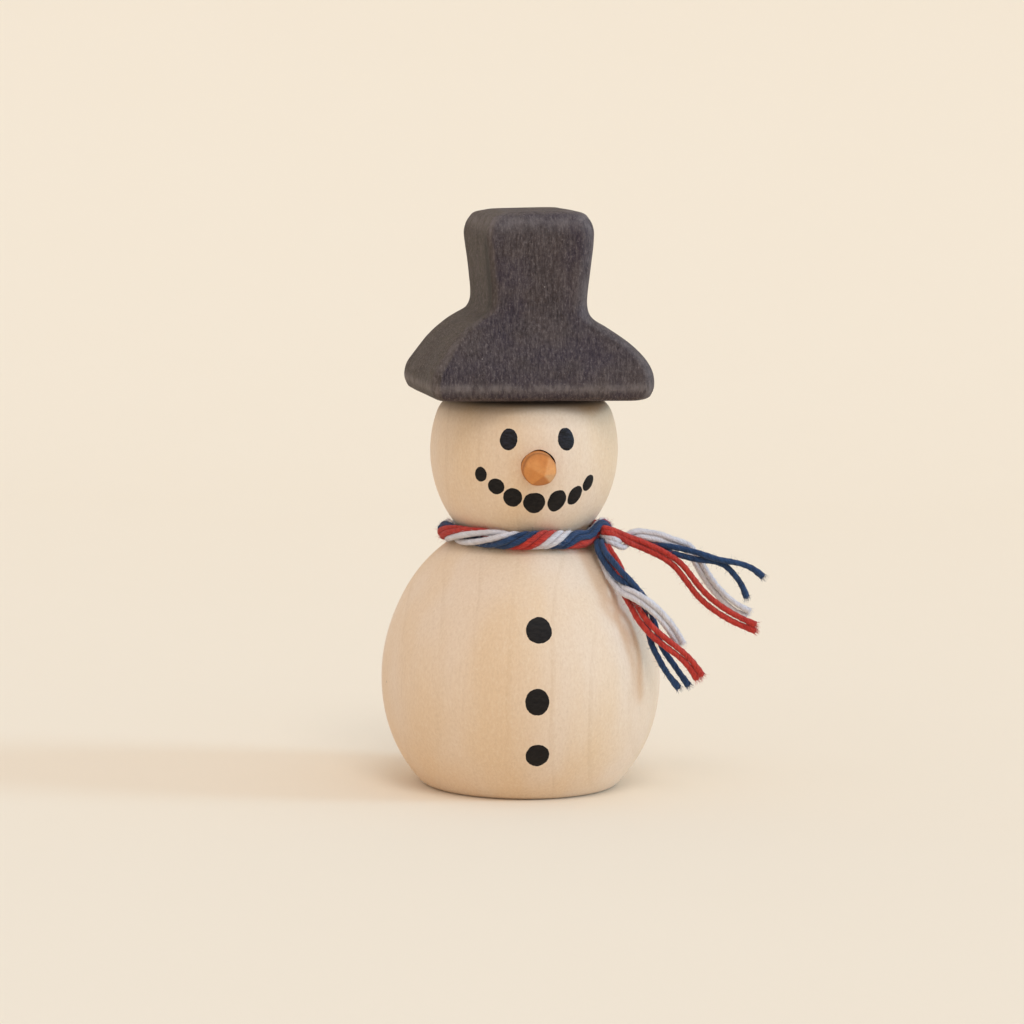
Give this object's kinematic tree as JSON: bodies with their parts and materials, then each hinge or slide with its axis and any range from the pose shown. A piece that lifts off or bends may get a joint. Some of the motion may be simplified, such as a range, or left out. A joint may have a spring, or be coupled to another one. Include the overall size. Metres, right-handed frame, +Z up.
{
  "type": "wooden snowman figure",
  "caption": "Small turned wooden snowman with a sawn stained hat, a peg nose, painted face and buttons, and a knotted twine scarf; stands on its flat base.",
  "frame": {"origin": "centre of the flat base, on the surface it stands on", "axes": "+Z up along the turning axis; -Y is the way the nose points; +X is the side where the scarf is knotted"},
  "size_m": [0.0625, 0.0472, 0.0974],
  "materials": {
    "maple": "pale close-grained maple, turned and fine-sanded, left matt",
    "hat_stain": "block stained dark grey, open grain, edges rubbed a little lighter",
    "nose_dye": "dowel dyed orange, whittled facets, matt",
    "black_paint": "thin brushed black paint on wood, satin",
    "twine_red": "soft spun cotton thread, slightly fuzzy",
    "twine_white": "soft spun cotton thread, slightly fuzzy",
    "twine_blue": "soft spun cotton thread, slightly fuzzy"
  },
  "bodies": {
    "root": {"body": "maple", "hat": "hat_stain", "nose": "nose_dye", "scarf_loop": "twine_white", "scarf_knot": "twine_blue", "scarf_upper_blue": "twine_blue", "scarf_upper_red": "twine_red", "scarf_upper_white": "twine_white", "scarf_lower_blue": "twine_blue", "scarf_lower_red": "twine_red", "scarf_lower_white": "twine_white"}
  },
  "joints": []
}
